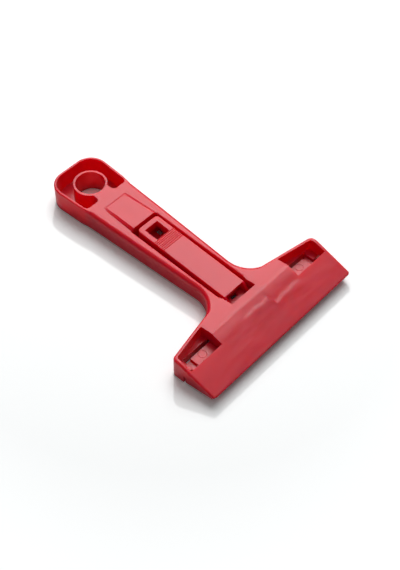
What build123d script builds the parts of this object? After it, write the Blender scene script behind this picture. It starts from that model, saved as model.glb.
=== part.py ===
from build123d import *
import os

# Hob scraper with a blade that slides out of its wide head. All lengths are in millimetres.
# X runs along the handle towards the blade, Y across the head and Z up from the table.
# The origin is on the table, under the middle of the tool.

# Overall size
overall_length = 146.9
head_width = 100.0

# Heights of the top surface, from the rear end to the lip over the blade
rear_height = 12.35
slot_rear_height = 11.8
neck_height = 10.45
crest_height = 12.15
lip_height = 5.33
neck_top_radius = 26.0
crest_radius = 6.0

# Distances back from the front of the lip
crest_from_front = 22.35
neck_from_front = 33.25
slot_front_from_front = 26.15
slot_step_from_front = 32.55
slot_rear_from_front = 92.15
window_front_from_front = 15.3
foot_front_from_front = 18.45
floor_front_from_front = 24.85

# Plan of the handle and of the head
handle_end_width = 32.9
handle_neck_width = 22.4
handle_end_radius = 10.0
neck_radius = 14.9
head_depth_middle = 35.9
head_depth_end = 25.7
head_front_inset = 0.4
head_rear_corner_radius = 3.0
head_front_corner_radius = 2.0

# Rounded edges of the moulding
handle_edge_radius = 2.4
rear_edge_radius = 0.8
head_edge_radius = 1.1
lip_edge_radius = 0.6
slot_edge_radius = 0.8
handle_bottom_radius = 1.9
rear_bottom_radius = 0.3
head_bottom_radius = 0.4

# Rear end of the handle: hanging hole, its ring and the well round it
hole_from_rear = 16.2
hole_radius = 7.7
ring_wall = 1.15
rim_wall = 1.35
well_front_from_rear = 28.25
rim_blend_from_rear = 24.5
rim_blend_length = 6.0
rim_blend_inset = 0.65
well_floor = 2.2
well_corner_radius = 2.2
web_width = 10.0

# Raised panel behind the slide
panel_length = 21.6
panel_rear_rise = 0.45
panel_front_rise = 1.4
panel_front_half_width = 7.1
panel_rear_half_width = 6.4
panel_side_bevel = 1.7
panel_sink = 0.1
panel_edge_radius = 0.25
panel_pocket_wall = 2.2
pocket_rows = 2
pocket_columns = 4

# Slot for the slide, with a guide along each side and snap lugs under the tongue
slot_half_width = 8.6
slot_front_half_width = 8.2
guide_reach = 1.3
guide_thickness = 1.2
lug_reach = 1.0
lug_thickness = 1.0
lug_length = 5.0
lug_count = 3
running_gap = 0.25
relief_height = 0.3
relief_length = 1.0

# Windows and hollow of the head
window_inner_y = 27.5
window_outer_wall = 2.0
window_rear_wall = 1.7
window_inner_wall = 1.6
window_corner_radius = 2.0
window_inner_radius = 0.6
head_floor = 4.85
foot_width = 6.1
seam_height = 4.65
roof_thickness = 2.0
head_rib_thickness = 1.2
head_rib_bays = 6
rib_front_from_front = 3.75

# Slide
slide_rear_from_front = 90.15
slide_front_from_front = 32.25
slide_half_width = 7.0
slide_rear_height = 13.2
slide_front_height = 10.2
slide_corner_radius = 2.0
slide_edge_radius = 0.45
slide_wall = 1.3
slide_plate = 2.0
thumb_plate = 4.0
thumb_plate_length = 20.0
grip_hole = 8.5
grip_hole_margin = 2.95
grip_rib_count = 7
grip_rib_pitch = 1.04
grip_groove_width = 0.6
grip_groove_depth = 0.35
cheek_foot_from_front = 26.85

# Tongue that joins the slide to the crossbar
tongue_top = 4.85
tongue_thickness = 2.0
tongue_hole_length = 2.0
tongue_hole_width = 4.0
notch_from_slide_rear = 1.6
notch_length = 4.0
notch_inner_y = 3.6
notch_height = 6.1

# Crossbar that carries the blade
carrier_end_gap = 0.1
carrier_rear_from_front = 22.85
shoulder_from_front = 17.55
pad_end_gap = 3.2
ledge_height = 3.4
pad_mark_radius = 2.1
pad_mark_depth = 0.15
pad_mark_from_end = 5.6
pad_mark_from_front = 20.4
nose_from_front = 1.4
nose_height = 3.8
keel_height = 0.5
core_wall = 1.4
core_rib = 1.2
core_cell_count = 9
core_front_from_front = 9.25

# Blade
blade_end_gap = 0.3
blade_thickness = 0.3
blade_gap = 0.15
blade_edge_from_front = 0.5
blade_rear_gap = 0.2
blade_bevel_width = 0.8
blade_edge_share = 0.2
peg_radius = 1.9
peg_clearance = 0.2
peg_height = 0.4
peg_y = 22.25
peg_from_front = 13.65

# Overrun of cutting shapes past the surface that they open
overrun = 2.0

# Places that follow from the sizes above
front_x = overall_length / 2
rear_x = -front_x
hole_x = rear_x + hole_from_rear
well_front_x = rear_x + well_front_from_rear
rim_blend_x = rear_x + rim_blend_from_rear
rim_end_x = rim_blend_x + rim_blend_length
window_front_x = front_x - window_front_from_front
slot_rear_x = front_x - slot_rear_from_front
slot_step_x = front_x - slot_step_from_front
slot_front_x = front_x - slot_front_from_front
floor_front_x = front_x - floor_front_from_front
foot_front_x = front_x - foot_front_from_front
slide_rear_x = front_x - slide_rear_from_front
slide_front_x = front_x - slide_front_from_front
cheek_foot_x = front_x - cheek_foot_from_front
carrier_rear_x = front_x - carrier_rear_from_front
shoulder_x = front_x - shoulder_from_front
nose_x = front_x - nose_from_front
core_front_x = front_x - core_front_from_front
blade_edge_x = front_x - blade_edge_from_front
head_half_width = head_width / 2
head_front_half_width = head_half_width - head_front_inset
window_outer_y = head_half_width - window_outer_wall
floor_opening_half_width = head_half_width - foot_width
pad_half_width = floor_opening_half_width - pad_end_gap
pad_mark_y = pad_half_width - pad_mark_from_end
ledge_half_width = floor_opening_half_width - running_gap
carrier_half_width = head_front_half_width - carrier_end_gap
blade_half_length = carrier_half_width - blade_end_gap
blade_seat = seam_height - blade_gap - blade_thickness
guide_bottom = tongue_top + running_gap
guide_top = guide_bottom + guide_thickness
relief_top = slide_front_height + relief_height
nose_slope = (crest_height - lip_height) / crest_from_front
lip_rear_x = front_x - (roof_thickness - lip_height + seam_height) / nose_slope
neck_y = handle_neck_width / 2
flare_half_width = neck_y + neck_radius


def head_rear_x(y):
    """Rear outline of the head, a straight line that comes forward towards its ends."""
    lead = (head_depth_middle - head_depth_end) / head_half_width
    return front_x - head_depth_middle + lead * y


def handle_half_width(x):
    """Half width of the handle, which narrows from its rear end to the neck."""
    taper = (handle_end_width / 2 - neck_y) / (head_rear_x(neck_y) - rear_x)
    return handle_end_width / 2 - taper * (x - rear_x)


def slide_top(x):
    """Height of the slide's top, which falls towards the head."""
    run = slide_rear_from_front - slide_front_from_front
    fall = (slide_rear_height - slide_front_height) / run
    return slide_rear_height - fall * (x - slide_rear_x)


def roof_under(x):
    """Height of the underside of the roof where the top rises from the neck to the crest."""
    rise = (crest_height - neck_height) / (neck_from_front - crest_from_front)
    return crest_height - roof_thickness - rise * (front_x - crest_from_front - x)


def roof_middle(x):
    """Height of the middle of the roof over the same rise."""
    return roof_under(x) + roof_thickness / 2


# Side view of the moulding: nearly flat handle, low neck, crest and a wedge down to the lip
with BuildSketch(Plane.XZ) as side_view:
    with BuildLine():
        FilletPolyline(
            (rear_x, rear_height),
            (slot_rear_x, slot_rear_height),
            (front_x - neck_from_front, neck_height),
            (front_x - crest_from_front, crest_height),
            (front_x, lip_height),
            (front_x, 0),
            radius=(0, neck_top_radius, crest_radius, lip_edge_radius),
        )
        Polyline((front_x, 0), (rear_x, 0), (rear_x, rear_height))
    make_face()

# Plan of the rear end: two round corners, and sides that draw in where the rim runs into the handle
with BuildSketch() as rear_plan:
    with BuildLine():
        Polyline(
            (rear_x, -handle_end_width / 2),
            (rim_blend_x, -handle_half_width(rim_blend_x)),
            (rim_end_x, rim_blend_inset - handle_half_width(rim_end_x)),
            (rim_end_x, handle_half_width(rim_end_x) - rim_blend_inset),
            (rim_blend_x, handle_half_width(rim_blend_x)),
            (rear_x, handle_end_width / 2),
            close=True,
        )
    make_face()
    fillet(rear_plan.vertices().group_by(Axis.X)[0], handle_end_radius)

# Plan of the handle from the rim to the flares that run into the head
with BuildSketch() as handle_plan:
    with BuildLine():
        Polyline(
            (rim_blend_x, -handle_half_width(rim_blend_x)),
            (head_rear_x(neck_y), -neck_y),
            (head_rear_x(flare_half_width), -flare_half_width),
            (slot_front_x, -flare_half_width),
            (slot_front_x, flare_half_width),
            (head_rear_x(flare_half_width), flare_half_width),
            (head_rear_x(neck_y), neck_y),
            (rim_blend_x, handle_half_width(rim_blend_x)),
            close=True,
        )
    make_face()
    fillet(handle_plan.vertices().group_by(Axis.X)[1], neck_radius)

# Plan of the head
with BuildSketch() as head_plan:
    with BuildLine():
        Polyline(
            (head_rear_x(neck_y), -neck_y),
            (head_rear_x(head_half_width), -head_half_width),
            (front_x, -head_front_half_width),
            (front_x, head_front_half_width),
            (head_rear_x(head_half_width), head_half_width),
            (head_rear_x(neck_y), neck_y),
            close=True,
        )
    make_face()
    fillet(head_plan.vertices().group_by(Axis.X)[1], head_rear_corner_radius)

# Rear end of the handle, with a small radius along its thin rim
with BuildPart() as rear_blank:
    extrude(side_view.sketch, amount=head_half_width, both=True)
    extrude(rear_plan.sketch, amount=crest_height + overrun, mode=Mode.INTERSECT)
    around = rear_blank.edges().filter_by(Axis.Z, reverse=True)
    around = around.filter_by(lambda e: e.center().X < rim_end_x - rear_edge_radius)
    fillet(around.filter_by(lambda e: e.center().Z > lip_height), rear_edge_radius)
    fillet(rear_blank.edges().filter_by(
        lambda e: e.bounding_box().max.Z < rear_edge_radius
        and e.center().X < rim_end_x - rear_edge_radius
    ), rear_bottom_radius)

# Handle with its flares, with a large radius along the top edges
with BuildPart() as handle_blank:
    extrude(side_view.sketch, amount=head_half_width, both=True)
    extrude(handle_plan.sketch, amount=crest_height + overrun, mode=Mode.INTERSECT)
    around = handle_blank.edges().filter_by(Axis.Z, reverse=True)
    around = around.filter_by(
        lambda e: e.center().X < head_rear_x(flare_half_width)
        and abs(e.center().Y) > slot_half_width
    )
    fillet(around.filter_by(lambda e: e.center().Z > lip_height), handle_edge_radius)
    fillet(handle_blank.edges().filter_by(
        lambda e: e.bounding_box().max.Z < rear_edge_radius
        and e.center().X < head_rear_x(flare_half_width)
        and abs(e.center().Y) > slot_half_width
    ), handle_bottom_radius)

# Head, rounded along its rear edge and its two ends
with BuildPart() as head_blank:
    extrude(side_view.sketch, amount=head_half_width, both=True)
    extrude(head_plan.sketch, amount=crest_height + overrun, mode=Mode.INTERSECT)
    around = head_blank.edges().filter_by(Axis.Z, reverse=True)
    around = around.filter_by(lambda e: abs(e.center().Y) > slot_half_width)
    fillet(around.filter_by(lambda e: e.center().Z > lip_height), head_edge_radius)
    fillet(head_blank.edges().filter_by(
        lambda e: e.bounding_box().max.Z < rear_edge_radius and abs(e.center().Y) > slot_half_width
    ), head_bottom_radius)
    with BuildSketch() as front_corners:
        with Locations((front_x - head_depth_middle, 0)):
            Rectangle(2 * head_depth_middle, 2 * head_front_half_width)
        fillet(front_corners.vertices().group_by(Axis.X)[-1], head_front_corner_radius)
        with Locations((front_x - head_front_corner_radius, 0)):
            Rectangle(head_depth_middle, head_width, align=(Align.MAX, Align.CENTER))
    extrude(amount=crest_height + overrun, mode=Mode.INTERSECT)

# Raised panel, a wedge with sloping sides that ends at the slot
panel_rear_x = slot_rear_x - panel_length
panel_top_rear_x = panel_rear_x + panel_side_bevel
panel_slope = (panel_front_rise - panel_rear_rise) / (slot_rear_x - panel_top_rear_x)
handle_slope = (rear_height - slot_rear_height) / (slot_rear_x - rear_x)
with BuildPart() as panel:
    panel_base = Plane(
        origin=(slot_rear_x, 0, slot_rear_height - panel_sink),
        x_dir=(1, 0, -handle_slope),
        z_dir=(handle_slope, 0, 1),
    )
    with BuildSketch(panel_base):
        with BuildLine():
            Polyline(
                (-panel_length, -panel_rear_half_width - panel_side_bevel),
                (0, -panel_front_half_width - panel_side_bevel),
                (0, panel_front_half_width + panel_side_bevel),
                (-panel_length, panel_rear_half_width + panel_side_bevel),
                close=True,
            )
        make_face()
    panel_top = Plane(
        origin=(slot_rear_x, 0, slot_rear_height + panel_front_rise),
        x_dir=(1, 0, panel_slope),
        z_dir=(-panel_slope, 0, 1),
    )
    with BuildSketch(panel_top):
        with BuildLine():
            Polyline(
                (panel_top_rear_x - slot_rear_x, -panel_rear_half_width),
                (0, -panel_front_half_width),
                (0, panel_front_half_width),
                (panel_top_rear_x - slot_rear_x, panel_rear_half_width),
                close=True,
            )
        make_face()
    loft(ruled=True)
    fillet(panel.faces().sort_by(Axis.Z)[-1].edges().filter_by(Axis.Y, reverse=True), panel_edge_radius)

# Plan of the slot, a little narrower at its front end
with BuildSketch() as slot_plan:
    with BuildLine():
        Polyline(
            (slot_rear_x, -slot_half_width),
            (slot_step_x, -slot_half_width),
            (slot_step_x, -slot_front_half_width),
            (slot_front_x, -slot_front_half_width),
            (slot_front_x, slot_front_half_width),
            (slot_step_x, slot_front_half_width),
            (slot_step_x, slot_half_width),
            (slot_rear_x, slot_half_width),
            close=True,
        )
    make_face()

# Rounding of the slot's side rims, drawn square to the sloping top of the handle
slot_run = slot_rear_from_front - neck_from_front
rim_plane = Plane(
    origin=(slot_rear_x, 0, slot_rear_height),
    x_dir=(0, 1, 0),
    z_dir=(slot_run, 0, neck_height - slot_rear_height),
)
with BuildSketch(rim_plane) as slot_rim:
    with GridLocations(2 * slot_half_width, 0, 2, 1):
        Rectangle(2 * slot_edge_radius, 2 * slot_edge_radius)
    with Locations((0, -slot_edge_radius)):
        with GridLocations(2 * (slot_half_width + slot_edge_radius), 0, 2, 1):
            Circle(slot_edge_radius, mode=Mode.SUBTRACT)

# Side view of the hollow of the head, one roof thickness below the top surface
with BuildSketch(Plane.XZ) as hollow_view:
    with BuildLine():
        Polyline(
            (floor_front_x, 0),
            (floor_front_x, roof_under(floor_front_x)),
            (front_x - crest_from_front, crest_height - roof_thickness),
            (lip_rear_x, seam_height),
            (front_x + overrun, seam_height),
            (front_x + overrun, 0),
            close=True,
        )
    make_face()

# Plan of the window on one side of the handle
with BuildSketch() as window_plan:
    with BuildLine():
        Polyline(
            (window_front_x, window_inner_y),
            (window_front_x, window_outer_y),
            (head_rear_x(window_outer_y) + window_rear_wall, window_outer_y),
            (head_rear_x(window_inner_y) + window_rear_wall, window_inner_y),
            close=True,
        )
    make_face()
    fillet(window_plan.vertices().group_by(Axis.X)[0], window_inner_radius)
    fillet(window_plan.vertices().group_by(Axis.Y)[-1].sort_by(Axis.X)[0], window_corner_radius)
    mirror(about=Plane.XZ)

# Plan of the well round the ring: the rear plan drawn in by the rim, less the ring and the web
with BuildSketch() as well_plan:
    with BuildLine():
        Polyline(
            (rear_x + rim_wall, -handle_end_width / 2 + rim_wall),
            (well_front_x, rim_wall - handle_half_width(well_front_x)),
            (well_front_x, handle_half_width(well_front_x) - rim_wall),
            (rear_x + rim_wall, handle_end_width / 2 - rim_wall),
            close=True,
        )
    make_face()
    fillet(well_plan.vertices().group_by(Axis.X)[0], handle_end_radius - rim_wall)
    with Locations(((hole_x + well_front_x) / 2, 0)):
        Rectangle(well_front_x - hole_x, web_width, mode=Mode.SUBTRACT)
    fillet(well_plan.vertices().group_by(Axis.X)[-1], well_corner_radius)
    with Locations((hole_x, 0)):
        Circle(hole_radius + ring_wall, mode=Mode.SUBTRACT)

# One-piece moulding of the handle and the head
with BuildPart() as handle_body:
    add(rear_blank.part)
    add(handle_blank.part)
    add(head_blank.part)
    add(panel.part)

    # Well, and the hanging hole through the ring
    extrude(well_plan.sketch.moved(Location((0, 0, well_floor))), amount=rear_height, mode=Mode.SUBTRACT)
    with Locations((hole_x, 0, 0)):
        Cylinder(
            hole_radius,
            rear_height,
            align=(Align.CENTER, Align.CENTER, Align.MIN),
            mode=Mode.SUBTRACT,
        )

    # Windows down to the floor of the head
    extrude(
        window_plan.sketch.moved(Location((0, 0, head_floor))), amount=crest_height, mode=Mode.SUBTRACT
    )

    # Hollow under the roof: open to the table between the end feet, and closed by a floor beside them
    extrude(hollow_view.sketch, amount=floor_opening_half_width, both=True, mode=Mode.SUBTRACT)
    with BuildSketch(Plane.XZ):
        add(hollow_view.sketch)
        with Locations((front_x - overall_length, head_floor / 2)):
            Rectangle(2 * (overall_length - foot_front_from_front), head_floor, mode=Mode.SUBTRACT)
    extrude(amount=window_outer_y, both=True, mode=Mode.SUBTRACT)

    # Room under both ends of the head for the crossbar
    with BuildSketch(Plane.XZ):
        with Locations((foot_front_x, 0)):
            Rectangle(
                foot_front_from_front + overrun, seam_height, align=(Align.MIN, Align.MIN)
            )
    extrude(amount=head_half_width + overrun, both=True, mode=Mode.SUBTRACT)

    # Walls beside the windows and the ribs between them, clear of the crossbar
    with BuildSketch(Plane.XZ) as rib_view:
        with BuildLine():
            Polyline(
                (floor_front_x - window_inner_wall, guide_bottom),
                (floor_front_x - window_inner_wall, roof_middle(floor_front_x - window_inner_wall)),
                (front_x - crest_from_front, crest_height - roof_thickness / 2),
                (front_x - rib_front_from_front, guide_bottom),
                close=True,
            )
        make_face()
    for bay in range(head_rib_bays + 1):
        wall_y = window_inner_y - window_inner_wall / 2
        rib_y = wall_y * (2 * bay / head_rib_bays - 1)
        at_wall = bay == 0 or bay == head_rib_bays
        thickness = window_inner_wall if at_wall else head_rib_thickness
        extrude(rib_view.sketch.moved(Location((0, rib_y, 0))), amount=thickness / 2, both=True)

    # Slot: wide above the guides, narrower between them, and wide below them for the tongue
    extrude(slot_plan.sketch.moved(Location((0, 0, guide_top))), amount=crest_height, mode=Mode.SUBTRACT)
    extrude(slot_rim.sketch, amount=slot_run - slot_edge_radius, mode=Mode.SUBTRACT)
    channel_length = floor_front_x - slot_rear_x
    with Locations((slot_rear_x, 0, 0)):
        Box(
            channel_length,
            2 * (slot_half_width - guide_reach),
            guide_top,
            align=(Align.MIN, Align.CENTER, Align.MIN),
            mode=Mode.SUBTRACT,
        )
        Box(
            channel_length,
            2 * slot_half_width,
            guide_bottom,
            align=(Align.MIN, Align.CENTER, Align.MIN),
            mode=Mode.SUBTRACT,
        )

    # Relief in the roof at the slot's front, where the slide's cheeks pass under it
    with BuildSketch(Plane.XZ) as relief_view:
        with BuildLine():
            Polyline(
                (slot_front_x - relief_length, 0),
                (slot_front_x - relief_length, relief_top),
                (slot_front_x, relief_top),
                (slot_front_x + relief_length, relief_top - relief_length),
                (floor_front_x + relief_length, relief_top - relief_length),
                (floor_front_x + relief_length, 0),
                close=True,
            )
        make_face()
    extrude(amount=slot_front_half_width, both=True, mode=Mode.SUBTRACT)

    # Snap lugs that hold the tongue up against its guides
    lug_top = tongue_top - tongue_thickness - running_gap
    lug_pitch = (slide_front_x - slide_rear_x) / lug_count
    with BuildSketch(Plane.XY.offset(lug_top - lug_thickness)):
        with Locations((slide_rear_x + lug_pitch * lug_count / 2, 0)):
            with GridLocations(lug_pitch, 2 * slot_half_width, lug_count, 2):
                Rectangle(lug_length, 2 * lug_reach)
    extrude(amount=lug_thickness)

    # Hollows that open to the table: beside the slot in the neck, and under the raised panel
    for side in (1, -1):
        with BuildSketch() as bay_plan:
            inner_y = slot_half_width + window_inner_wall
            outer_y = window_inner_y - window_inner_wall
            with BuildLine():
                Polyline(
                    (floor_front_x + window_inner_wall, side * inner_y),
                    (floor_front_x + window_inner_wall, side * outer_y),
                    (head_rear_x(outer_y) + window_rear_wall, side * outer_y),
                    (head_rear_x(inner_y) + window_rear_wall, side * inner_y),
                    close=True,
                )
            make_face()
        extrude(amount=neck_height - roof_thickness, mode=Mode.SUBTRACT)
    pocket_front_x = slot_rear_x - panel_pocket_wall
    pocket_rear_x = well_front_x + panel_pocket_wall
    row_pitch = (pocket_front_x - pocket_rear_x + head_rib_thickness) / pocket_rows
    column_pitch = (2 * slot_half_width + head_rib_thickness) / pocket_columns
    with BuildSketch():
        with Locations(((pocket_front_x + pocket_rear_x) / 2, 0)):
            with GridLocations(row_pitch, column_pitch, pocket_rows, pocket_columns):
                Rectangle(row_pitch - head_rib_thickness, column_pitch - head_rib_thickness)
    extrude(amount=slot_rear_height - panel_pocket_wall, mode=Mode.SUBTRACT)

handle_body.part.label = "handle_body"

# Sliding moulding: thumb slide, tongue and the crossbar that carries the blade
with BuildPart() as blade_carrier:
    # Tongue from the rear of the slide to the crossbar
    with BuildSketch(Plane.XY.offset(tongue_top - tongue_thickness)):
        with Locations((slide_rear_x, 0)):
            Rectangle(
                shoulder_x - slide_rear_x,
                2 * (slot_front_half_width - running_gap),
                align=(Align.MIN, Align.CENTER),
            )
    extrude(amount=tongue_thickness)

    # Crossbar, with a raised shoulder behind the blade and a bevelled underside
    with BuildSketch(Plane.XZ) as wing_view:
        with BuildLine():
            Polyline(
                (shoulder_x, keel_height),
                (shoulder_x, blade_seat),
                (nose_x, blade_seat),
                (nose_x, nose_height),
                close=True,
            )
        make_face()
    extrude(amount=carrier_half_width, both=True)
    with BuildSketch(Plane.XZ):
        with Locations((shoulder_x, keel_height)):
            Rectangle(
                shoulder_x - carrier_rear_x,
                tongue_top - keel_height,
                align=(Align.MAX, Align.MIN),
            )
    extrude(amount=pad_half_width, both=True)
    with BuildSketch(Plane.XZ):
        with Locations((shoulder_x, keel_height)):
            Rectangle(
                shoulder_x - carrier_rear_x,
                ledge_height - keel_height,
                align=(Align.MAX, Align.MIN),
            )
    extrude(amount=ledge_half_width, both=True)

    # Round marks in the pads, and pegs that hold the blade
    with BuildSketch(Plane.XY.offset(tongue_top)):
        with Locations((front_x - pad_mark_from_front, 0)):
            with GridLocations(0, 2 * pad_mark_y, 1, 2):
                Circle(pad_mark_radius)
                Circle(pad_mark_radius - pad_mark_depth, mode=Mode.SUBTRACT)
    extrude(amount=-pad_mark_depth, mode=Mode.SUBTRACT)
    with BuildSketch(Plane.XY.offset(blade_seat)):
        with Locations((front_x - peg_from_front, 0)):
            with GridLocations(0, 2 * peg_y, 1, 2):
                Circle(peg_radius)
    extrude(amount=peg_height)

    # Cells cored out of the crossbar from below
    cell_pitch = (2 * pad_half_width - core_wall) / core_cell_count
    with BuildSketch():
        with Locations(((carrier_rear_x + core_wall + core_front_x) / 2, 0)):
            with GridLocations(0, cell_pitch, 1, core_cell_count):
                Rectangle(core_front_x - carrier_rear_x - core_wall, cell_pitch - core_rib)
    extrude(amount=tongue_top - tongue_thickness, mode=Mode.SUBTRACT)

    # Thumb slide: outer form with cheeks that run down to the tongue in front
    with BuildSketch(Plane.XZ) as slide_view:
        with BuildLine():
            Polyline(
                (slide_rear_x, tongue_top - tongue_thickness),
                (slide_rear_x, slide_rear_height),
                (slide_front_x, slide_front_height),
                (cheek_foot_x, tongue_top),
                (cheek_foot_x, tongue_top - tongue_thickness),
                close=True,
            )
        make_face()
    extrude(amount=slide_half_width, both=True)
    corners = blade_carrier.edges().filter_by(Axis.Z).filter_by(
        lambda e: abs(e.center().X - slide_rear_x) < slide_edge_radius
        and e.bounding_box().max.Z > slide_front_height
    )
    fillet(corners, slide_corner_radius)
    rim = blade_carrier.edges().filter_by(
        lambda e: e.bounding_box().min.Z > slide_front_height - slide_edge_radius
    )
    fillet(rim, slide_edge_radius)

    # Hollow of the slide, open at the front between the cheeks, with a thicker plate at the thumb
    with BuildSketch(Plane.XZ):
        thumb_end_x = slide_rear_x + thumb_plate_length
        with BuildLine():
            Polyline(
                (slide_rear_x + slide_wall, tongue_top),
                (slide_rear_x + slide_wall, slide_top(slide_rear_x + slide_wall) - thumb_plate),
                (thumb_end_x, slide_top(thumb_end_x) - thumb_plate),
                (thumb_end_x, slide_top(thumb_end_x) - slide_plate),
                (slide_front_x, slide_front_height - slide_plate),
                (slide_front_x, slide_front_height + overrun),
                (cheek_foot_x + overrun, slide_front_height + overrun),
                (cheek_foot_x + overrun, tongue_top),
                close=True,
            )
        make_face()
    extrude(amount=slide_half_width - slide_wall, both=True, mode=Mode.SUBTRACT)

    # Square hole through the thumb plate, and the fine ribs beside it
    hole_start_x = slide_rear_x + grip_hole_margin
    with BuildSketch(Plane.XY.offset(tongue_top)):
        with Locations((hole_start_x, 0)):
            Rectangle(grip_hole, grip_hole, align=(Align.MIN, Align.CENTER))
    extrude(amount=slide_rear_height, mode=Mode.SUBTRACT)
    for rib in range(grip_rib_count):
        groove_x = hole_start_x + grip_hole + grip_rib_pitch * (rib + 1 / 2)
        with BuildSketch(Plane.XZ):
            with BuildLine():
                Polyline(
                    (groove_x - grip_groove_width / 2, slide_top(groove_x)),
                    (groove_x, slide_top(groove_x) - grip_groove_depth),
                    (groove_x + grip_groove_width / 2, slide_top(groove_x)),
                    (groove_x, slide_top(groove_x) + grip_groove_depth),
                    close=True,
                )
            make_face()
        extrude(amount=slide_half_width + overrun, both=True, mode=Mode.SUBTRACT)

    # Openings in the tongue: a snap notch on each side and a slot near the front
    with BuildSketch():
        notch_width = slot_half_width - notch_inner_y
        with Locations((slide_rear_x + notch_from_slide_rear + notch_length / 2, 0)):
            with GridLocations(0, 2 * notch_inner_y + notch_width, 1, 2):
                Rectangle(notch_length, notch_width)
    extrude(amount=notch_height, mode=Mode.SUBTRACT)
    with BuildSketch():
        with Locations((slide_front_x, 0)):
            Rectangle(tongue_hole_length, tongue_hole_width)
    extrude(amount=tongue_top, mode=Mode.SUBTRACT)

blade_carrier.part.label = "blade_carrier"

# Steel blade that lies on the crossbar, sharpened along its front edge
with BuildPart() as scraper_blade:
    with BuildSketch(Plane.XZ):
        edge_half = blade_thickness * blade_edge_share / 2
        blade_middle = blade_seat + blade_thickness / 2
        with BuildLine():
            Polyline(
                (shoulder_x + blade_rear_gap, blade_seat),
                (shoulder_x + blade_rear_gap, blade_seat + blade_thickness),
                (blade_edge_x - blade_bevel_width, blade_seat + blade_thickness),
                (blade_edge_x, blade_middle + edge_half),
                (blade_edge_x, blade_middle - edge_half),
                (blade_edge_x - blade_bevel_width, blade_seat),
                close=True,
            )
        make_face()
    extrude(amount=blade_half_length, both=True)
    with BuildSketch(Plane.XY.offset(blade_seat)):
        with Locations((front_x - peg_from_front, 0)):
            with GridLocations(0, 2 * peg_y, 1, 2):
                Circle(peg_radius + peg_clearance)
    extrude(amount=blade_thickness, mode=Mode.SUBTRACT)

scraper_blade.part.label = "scraper_blade"

os.makedirs("parts", exist_ok=True)
export_step(handle_body.part, "parts/handle_body.step")
export_step(blade_carrier.part, "parts/blade_carrier.step")
export_step(scraper_blade.part, "parts/scraper_blade.step")
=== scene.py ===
import math

import bmesh
import bpy
from mathutils import Matrix, Vector


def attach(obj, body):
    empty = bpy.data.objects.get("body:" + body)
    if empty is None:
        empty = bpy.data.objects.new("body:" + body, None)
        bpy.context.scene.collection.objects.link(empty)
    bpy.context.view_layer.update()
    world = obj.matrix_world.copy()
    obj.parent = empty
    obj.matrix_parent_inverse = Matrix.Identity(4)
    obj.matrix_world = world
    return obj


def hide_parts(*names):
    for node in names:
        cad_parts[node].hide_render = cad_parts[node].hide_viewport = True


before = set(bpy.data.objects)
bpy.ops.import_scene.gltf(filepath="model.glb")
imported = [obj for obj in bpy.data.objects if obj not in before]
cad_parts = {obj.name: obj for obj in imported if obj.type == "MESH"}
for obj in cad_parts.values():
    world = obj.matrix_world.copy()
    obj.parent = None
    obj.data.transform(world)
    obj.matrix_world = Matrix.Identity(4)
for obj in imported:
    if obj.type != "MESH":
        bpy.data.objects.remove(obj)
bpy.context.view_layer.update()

MM = 0.001

# Shading of the mouldings' mesh
FLAT_TURN = 0.6  # degrees between two faces of one flat patch
WIDE = 1.0 * MM  # patches wider than this are faces, narrower ones are strips of a rounded edge
PANEL_WIDE = 2.0 * MM
CREASE_WIDE, CREASE_NARROW, CREASE_PANEL = 12, 44, 5  # degrees from which an edge stays crisp
PANEL_X = (-41.0 * MM, -18.5 * MM)
PANEL_Y = 9.3 * MM
PANEL_Z = 11.5 * MM

# Sink marks on the head's slope, in millimetres of the part
BELLY_X, BELLY_HEIGHT = (47.5, 58.0), 0.30
RIDGE_JOG_Y, RIDGE_X = (6.2, 8.8), (55.4, 59.0)
RIDGE_LEFT_Y, RIDGE_RIGHT_Y, RIDGE_HEIGHT = (-12.0, -6.0), (23.0, 28.0), 0.19
RIDGE_REACHES = (1.0, 4.0)
SWELL_X, SWELL_HEIGHT, SWELL_LENGTH = (47.0, 51.0), 0.13, 5.0


def linear(hex_colour, alpha=1.0):
    """sRGB hex to the linear colour that a shader socket takes."""
    values = []
    for start in (0, 2, 4):
        c = int(hex_colour[start:start + 2], 16) / 255
        values.append(c / 12.92 if c <= 0.04045 else ((c + 0.055) / 1.055) ** 2.4)
    return (*values, alpha)


def node(tree, kind, settings=None, inputs=None, links=None):
    """Adds a node with its settings, input values and links from other nodes' outputs."""
    made = tree.nodes.new(kind)
    for name, value in (settings or {}).items():
        setattr(made, name, value)
    for name, value in (inputs or {}).items():
        made.inputs[name].default_value = value
    for name, output in (links or {}).items():
        tree.links.new(output, made.inputs[name])
    return made


def new_material(name):
    """An empty material and its node tree."""
    material = bpy.data.materials.new(name)
    material.use_nodes = True
    material.node_tree.nodes.clear()
    return material, material.node_tree


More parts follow.
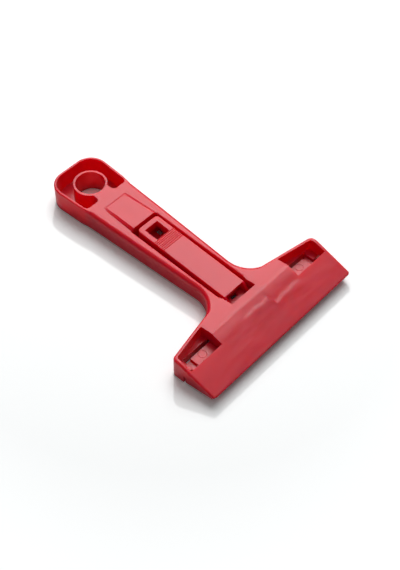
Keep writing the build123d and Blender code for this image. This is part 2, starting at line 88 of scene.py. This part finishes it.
def head_sinks(tree, place):
    """Height in millimetres of the slight unevenness that ribs leave in the sloping front of the head.

    A low belly in front of the crest, long swells, and a ridge that follows the ribs below and jogs
    forward beside the slot."""
    axes = node(tree, "ShaderNodeSeparateXYZ", links={"Vector": place})
    along = node(tree, "ShaderNodeMath", settings={"operation": "DIVIDE"}, inputs={1: MM},
                 links={0: axes.outputs["X"]})
    across = node(tree, "ShaderNodeMath", settings={"operation": "DIVIDE"}, inputs={1: MM},
                  links={0: axes.outputs["Y"]})
    wander = node(tree, "ShaderNodeTexNoise", settings={"noise_dimensions": "1D"},
                  inputs={"Scale": 0.16, "Detail": 0.0}, links={"W": across.outputs["Value"]})
    line = node(tree, "ShaderNodeMapRange", settings={"interpolation_type": "SMOOTHSTEP"},
                inputs={"From Min": RIDGE_JOG_Y[0], "From Max": RIDGE_JOG_Y[1],
                        "To Min": RIDGE_X[0], "To Max": RIDGE_X[1]},
                links={"Value": across.outputs["Value"]})
    bent = node(tree, "ShaderNodeMath", settings={"operation": "MULTIPLY_ADD"}, inputs={1: 1.6},
                links={0: wander.outputs["Fac"], 2: line.outputs["Result"]})
    offset = node(tree, "ShaderNodeMath", settings={"operation": "SUBTRACT"},
                  links={0: along.outputs["Value"], 1: bent.outputs["Value"]})
    # A steep step less a wide one leaves a ridge, with a shallow hollow on either side
    steps = []
    for reach in RIDGE_REACHES:
        scaled = node(tree, "ShaderNodeMath", settings={"operation": "DIVIDE"}, inputs={1: reach},
                      links={0: offset.outputs["Value"]})
        steps.append(node(tree, "ShaderNodeMath", settings={"operation": "TANH"},
                          links={0: scaled.outputs["Value"]}))
    ridge = node(tree, "ShaderNodeMath", settings={"operation": "SUBTRACT"},
                 links={0: steps[0].outputs["Value"], 1: steps[1].outputs["Value"]})
    left_end = node(tree, "ShaderNodeMapRange", settings={"interpolation_type": "SMOOTHSTEP"},
                    inputs={"From Min": RIDGE_LEFT_Y[0], "From Max": RIDGE_LEFT_Y[1],
                            "To Min": 0.0, "To Max": RIDGE_HEIGHT},
                    links={"Value": across.outputs["Value"]})
    right_end = node(tree, "ShaderNodeMapRange", settings={"interpolation_type": "SMOOTHSTEP"},
                     inputs={"From Min": RIDGE_RIGHT_Y[0], "From Max": RIDGE_RIGHT_Y[1],
                             "To Min": 1.0, "To Max": 0.0},
                     links={"Value": across.outputs["Value"]})
    strength = node(tree, "ShaderNodeMath", settings={"operation": "MULTIPLY"},
                    links={0: left_end.outputs["Result"], 1: right_end.outputs["Result"]})
    belly = node(tree, "ShaderNodeMapRange", settings={"interpolation_type": "SMOOTHERSTEP"},
                 inputs={"From Min": BELLY_X[0], "From Max": BELLY_X[1], "To Min": 0.0, "To Max": BELLY_HEIGHT},
                 links={"Value": along.outputs["Value"]})
    # Long shallow waves that run along the head, as the melt cooled over the ribs
    stretched = node(tree, "ShaderNodeMapping", inputs={"Scale": (1.0, 0.45, 1.0)}, links={"Vector": place})
    swells = node(tree, "ShaderNodeTexNoise", inputs={"Scale": 1 / (SWELL_LENGTH * MM), "Detail": 1.0},
                  links={"Vector": stretched.outputs["Vector"]})
    head_only = node(tree, "ShaderNodeMapRange",
                     inputs={"From Min": SWELL_X[0], "From Max": SWELL_X[1],
                             "To Min": 0.0, "To Max": SWELL_HEIGHT},
                     links={"Value": along.outputs["Value"]})
    swell = node(tree, "ShaderNodeMath", settings={"operation": "MULTIPLY_ADD"},
                 links={0: swells.outputs["Fac"], 1: head_only.outputs["Result"], 2: belly.outputs["Result"]})
    height = node(tree, "ShaderNodeMath", settings={"operation": "MULTIPLY_ADD"},
                  links={0: ridge.outputs["Value"], 1: strength.outputs["Value"], 2: swell.outputs["Value"]})
    return height.outputs["Value"]


def moulded_abs(name, colour, deep, seed, sink=None):
    """Injection-moulded ABS with a fine eroded skin and the slow waves that moulding leaves.

    The waves break up the reflection of a lamp on a flat face, and the skin dulls it.
    sink is a function that adds the height of a sink mark to the slow waves."""
    material, tree = new_material(name)
    place = node(tree, "ShaderNodeTexCoord").outputs["Object"]
    # Slow waves, about 9 mm long, and shorter ones of about 2.5 mm
    waves = node(tree, "ShaderNodeTexNoise", inputs={"Scale": 1 / (9 * MM), "Detail": 1.0, "W": seed},
                 settings={"noise_dimensions": "4D"}, links={"Vector": place})
    ripple = node(tree, "ShaderNodeTexNoise", inputs={"Scale": 1 / (2.5 * MM), "Detail": 1.0, "W": seed},
                  settings={"noise_dimensions": "4D"}, links={"Vector": place})
    # Eroded skin: the real grain is about 0.1 mm, drawn at 0.4 mm so that it shows
    skin = node(tree, "ShaderNodeTexNoise", inputs={"Scale": 1 / (0.4 * MM), "Detail": 1.0, "Roughness": 0.5},
                links={"Vector": place})
    tint = node(tree, "ShaderNodeMix", settings={"data_type": "RGBA"},
                inputs={6: linear(colour), 7: linear(deep)}, links={0: waves.outputs["Fac"]})
    rough = node(tree, "ShaderNodeMapRange",
                 inputs={"From Min": 0.3, "From Max": 0.7, "To Min": 0.28, "To Max": 0.33},
                 links={"Value": ripple.outputs["Fac"]})
    # Every edge of the mould is slightly round, which catches the light as a fine line
    edge = node(tree, "ShaderNodeBevel", settings={"samples": 6}, inputs={"Radius": 0.22 * MM})
    low = node(tree, "ShaderNodeBump", inputs={"Strength": 1.0, "Distance": 0.02 * MM},
               links={"Height": waves.outputs["Fac"], "Normal": edge.outputs["Normal"]})
    if sink:
        low = node(tree, "ShaderNodeBump", inputs={"Strength": 1.0, "Distance": 1 * MM},
                   links={"Height": sink(tree, place), "Normal": low.outputs["Normal"]})
    mid = node(tree, "ShaderNodeBump", inputs={"Strength": 1.0, "Distance": 0.004 * MM},
               links={"Height": ripple.outputs["Fac"], "Normal": low.outputs["Normal"]})
    fine = node(tree, "ShaderNodeBump", inputs={"Strength": 1.0, "Distance": 0.003 * MM},
                links={"Height": skin.outputs["Fac"], "Normal": mid.outputs["Normal"]})
    shader = node(tree, "ShaderNodeBsdfPrincipled",
                  inputs={"IOR": 1.54, "Metallic": 0.0, "Subsurface Weight": 1.0,
                          "Subsurface Radius": (1.0, 0.05, 0.05), "Subsurface Scale": 5 * MM},
                  links={"Base Color": tint.outputs[2], "Roughness": rough.outputs["Result"],
                         "Normal": fine.outputs["Normal"]})
    node(tree, "ShaderNodeOutputMaterial", links={"Surface": shader.outputs["BSDF"]})
    return material


def ground_steel(name):
    """Hardened carbon steel strip, ground across its width, with a faint oil film."""
    material, tree = new_material(name)
    place = node(tree, "ShaderNodeTexCoord").outputs["Object"]
    stretched = node(tree, "ShaderNodeMapping", inputs={"Scale": (0.05, 1.0, 1.0)}, links={"Vector": place})
    lines = node(tree, "ShaderNodeTexNoise", inputs={"Scale": 1 / (0.25 * MM), "Detail": 3.0},
                 links={"Vector": stretched.outputs["Vector"]})
    tint = node(tree, "ShaderNodeMix", settings={"data_type": "RGBA"},
                inputs={6: linear("8f9397"), 7: linear("b9bcc0")}, links={0: lines.outputs["Fac"]})
    rough = node(tree, "ShaderNodeMapRange", inputs={"To Min": 0.24, "To Max": 0.42},
                 links={"Value": lines.outputs["Fac"]})
    bump = node(tree, "ShaderNodeBump", inputs={"Strength": 0.2, "Distance": 0.01 * MM},
                links={"Height": lines.outputs["Fac"]})
    shader = node(tree, "ShaderNodeBsdfPrincipled", inputs={"Metallic": 1.0},
                  links={"Base Color": tint.outputs[2], "Roughness": rough.outputs["Result"],
                         "Normal": bump.outputs["Normal"]})
    node(tree, "ShaderNodeOutputMaterial", links={"Surface": shader.outputs["BSDF"]})
    return material


def flat_patches(work):
    """Groups the mesh's faces into flat patches, and gives each face the width of its patch.

    The width is twice the area over the outline, so a long strip of a rounded edge gives the strip's width."""
    width = {}
    for start in work.faces:
        if start in width:
            continue
        patch, rim, area = {start}, 0.0, 0.0
        queue = [start]
        while queue:
            face = queue.pop()
            area += face.calc_area()
            for edge in face.edges:
                other = next((f for f in edge.link_faces if f is not face), None)
                if other is None or edge.calc_face_angle(1) > math.radians(FLAT_TURN):
                    rim += edge.calc_length()
                elif other not in patch:
                    patch.add(other)
                    queue.append(other)
        for face in patch:
            width[face] = 2 * area / max(rim, 1e-9)
    return width


def in_panel(point):
    """Whether a point is on the raised panel or on the foot of its bevel."""
    return PANEL_X[0] < point.x < PANEL_X[1] and abs(point.y) < PANEL_Y and point.z > PANEL_Z


def smooth_copy(name, body, material):
    """The moulding as one closed skin, shaded smooth along its rounded edges and flat on its faces.

    A rounded edge is a row of narrow strips, so a crease between two wider faces stays crisp. The
    panel's bevels are low, so there an edge beside a wide face stays crisp at a smaller turn."""
    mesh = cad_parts[name].data.copy()
    work = bmesh.new()
    work.from_mesh(mesh)
    bmesh.ops.remove_doubles(work, verts=work.verts, dist=0.002 * MM)
    width = flat_patches(work)
    for edge in work.edges:
        turn = edge.calc_face_angle(math.pi)
        widths = [width[face] for face in edge.link_faces]
        crease = CREASE_WIDE if min(widths) > WIDE else CREASE_NARROW
        if max(widths) > PANEL_WIDE and all(in_panel(vert.co) for vert in edge.verts):
            crease = CREASE_PANEL
        edge.smooth = turn < math.radians(crease)
    for face in work.faces:
        face.smooth = True
    work.to_mesh(mesh)
    work.free()
    piece = bpy.data.objects.new(name + "_skin", mesh)
    bpy.context.scene.collection.objects.link(piece)
    weighted = piece.modifiers.new("flat_faces_lead", "WEIGHTED_NORMAL")
    weighted.mode = "FACE_AREA"
    weighted.weight = 100
    weighted.keep_sharp = True
    shaped = bpy.data.meshes.new_from_object(piece.evaluated_get(bpy.context.evaluated_depsgraph_get()))
    piece.modifiers.remove(weighted)
    piece.data = shaped
    shaped.name = name + "_skin"
    shaped.materials.clear()
    shaped.materials.append(material)
    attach(piece, body)
    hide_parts(name)
    return piece


body_red = moulded_abs("red_abs_moulded_handle", "dc0429", "d60325", 1.0, head_sinks)
slide_red = moulded_abs("red_abs_moulded_slide", "de052b", "d80427", 5.0)
blade_steel = ground_steel("carbon_steel_ground")

handle_skin = smooth_copy("handle_body", "handle", body_red)
slide_skin = smooth_copy("blade_carrier", "slider", slide_red)
blade_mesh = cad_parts["scraper_blade"].data
blade_mesh.materials.clear()
blade_mesh.materials.append(blade_steel)


def pale_floor(half_side):
    """A plain white floor under the tool, which keeps its shadow."""
    mesh = bpy.data.meshes.new("floor")
    corners = [(-half_side, -half_side, 0), (half_side, -half_side, 0),
               (half_side, half_side, 0), (-half_side, half_side, 0)]
    mesh.from_pydata(corners, [], [(0, 1, 2, 3)])
    floor = bpy.data.objects.new("floor", mesh)
    bpy.context.scene.collection.objects.link(floor)
    material, tree = new_material("white_paper_floor")
    # The camera sees the paper as white, and the tool sees it as pale grey. A trace of green-blue
    # takes up the red light that the tool throws into its own shadow.
    seen = node(tree, "ShaderNodeLightPath")
    # The lamps are near, so the paper is whiter towards its rim, where they reach less
    place = node(tree, "ShaderNodeTexCoord").outputs["Object"]
    radius = node(tree, "ShaderNodeVectorMath", settings={"operation": "LENGTH"}, links={0: place})
    reach = node(tree, "ShaderNodeMapRange",
                 inputs={"From Min": 0.12, "From Max": half_side, "To Min": 1.0, "To Max": 2.6},
                 links={"Value": radius.outputs["Value"]})
    white = node(tree, "ShaderNodeVectorMath", settings={"operation": "SCALE"}, inputs={0: (1.15, 1.17, 1.17)},
                 links={"Scale": reach.outputs["Result"]})
    paper = node(tree, "ShaderNodeMix", settings={"data_type": "RGBA"}, inputs={6: linear("c9cdcd")},
                 links={0: seen.outputs["Is Camera Ray"], 7: white.outputs["Vector"]})
    diffuse = node(tree, "ShaderNodeBsdfDiffuse", links={"Color": paper.outputs[2]})
    # From below the paper is left out, so that the tool's underside can be looked at
    side = node(tree, "ShaderNodeNewGeometry")
    clear = node(tree, "ShaderNodeBsdfTransparent")
    surface = node(tree, "ShaderNodeMixShader",
                   links={0: side.outputs["Backfacing"], 1: diffuse.outputs["BSDF"], 2: clear.outputs["BSDF"]})
    node(tree, "ShaderNodeOutputMaterial", links={"Surface": surface.outputs["Shader"]})
    mesh.materials.append(material)
    floor.location.z = -0.0002
    return floor


pale_floor(0.8)

# Camera, fitted to the outline of the tool in the photograph
heading, elevation, roll = (math.radians(angle) for angle in (131.708, 51.987, 1.135))
FOCAL_PX, PHOTO_HEIGHT_PX, SENSOR_MM = 1041.98, 570, 36.0
forward = Vector((math.cos(heading) * math.cos(elevation), math.sin(heading) * math.cos(elevation),
                  -math.sin(elevation)))
level_right = Vector((math.sin(heading), -math.cos(heading), 0.0))
level_up = level_right.cross(forward)
right = math.cos(roll) * level_right + math.sin(roll) * level_up
up = -math.sin(roll) * level_right + math.cos(roll) * level_up
camera_data = bpy.data.cameras.new("camera")
camera_data.sensor_fit = "AUTO"
camera_data.sensor_width = SENSOR_MM
camera_data.lens = FOCAL_PX * SENSOR_MM / PHOTO_HEIGHT_PX
camera_data.clip_start = 0.01
camera = bpy.data.objects.new("camera", camera_data)
bpy.context.scene.collection.objects.link(camera)
eye = Vector((157.94 + 73.2, -237.51, 401.35)) * MM
turn = Matrix((right, up, -forward)).transposed().to_4x4()
camera.matrix_world = Matrix.Translation(eye) @ turn
bpy.context.scene.camera = camera


def softbox(name, direction, distance, width, height, radiance):
    """A rectangular lamp that faces the tool. A radiance of 1 is as bright as white paper in full light."""
    data = bpy.data.lights.new(name, "AREA")
    data.shape = "RECTANGLE"
    data.size = width
    data.size_y = height
    data.energy = radiance * math.pi * width * height
    lamp = bpy.data.objects.new(name, data)
    aim = Vector(direction).normalized()
    lamp.location = aim * distance
    lamp.rotation_euler = (-aim).to_track_quat("-Z", "Y").to_euler()
    bpy.context.scene.collection.objects.link(lamp)
    return lamp


# A small lamp gives the shadow its firm edge, and broad ones round it give the sheen
key = softbox("key_lamp", (-0.52, 0.555, 0.63), 1.6, 0.07, 0.07, 500)
key.visible_glossy = False
softbox("rear_softbox", (-0.44, 0.47, 0.765), 1.2, 0.84, 0.80, 3.8)
softbox("overhead_softbox", (0.0, 0.47, 0.88), 1.3, 0.46, 0.8, 2.3)
fill = softbox("fill_lamp", (0.15, -0.82, 0.55), 1.5, 0.8, 0.8, 0.75)
fill.visible_glossy = False

world = bpy.data.worlds.new("studio")
bpy.context.scene.world = world
world.use_nodes = True
sky = world.node_tree
sky.nodes.clear()
# The studio is dark at the height of the table and brightens towards the ceiling
direction = node(sky, "ShaderNodeTexCoord")
height = node(sky, "ShaderNodeSeparateXYZ", links={"Vector": direction.outputs["Generated"]})
lifted = node(sky, "ShaderNodeMath", settings={"operation": "MAXIMUM"}, inputs={1: 0.0},
              links={0: height.outputs["Z"]})
bright = node(sky, "ShaderNodeMath", settings={"operation": "POWER"}, inputs={1: 3.0},
              links={0: lifted.outputs["Value"]})
level = node(sky, "ShaderNodeMath", settings={"operation": "MULTIPLY_ADD"}, inputs={1: 0.40, 2: 0.02},
             links={0: bright.outputs["Value"]})
seen = node(sky, "ShaderNodeLightPath")
strength = node(sky, "ShaderNodeMix", settings={"data_type": "FLOAT"}, inputs={3: 1.0},
                links={0: seen.outputs["Is Camera Ray"], 2: level.outputs["Value"]})
light = node(sky, "ShaderNodeBackground", inputs={"Color": (1, 1, 1, 1)},
             links={"Strength": strength.outputs[0]})
node(sky, "ShaderNodeOutputWorld", links={"Surface": light.outputs["Background"]})

bpy.context.scene.view_settings.view_transform = "Standard"
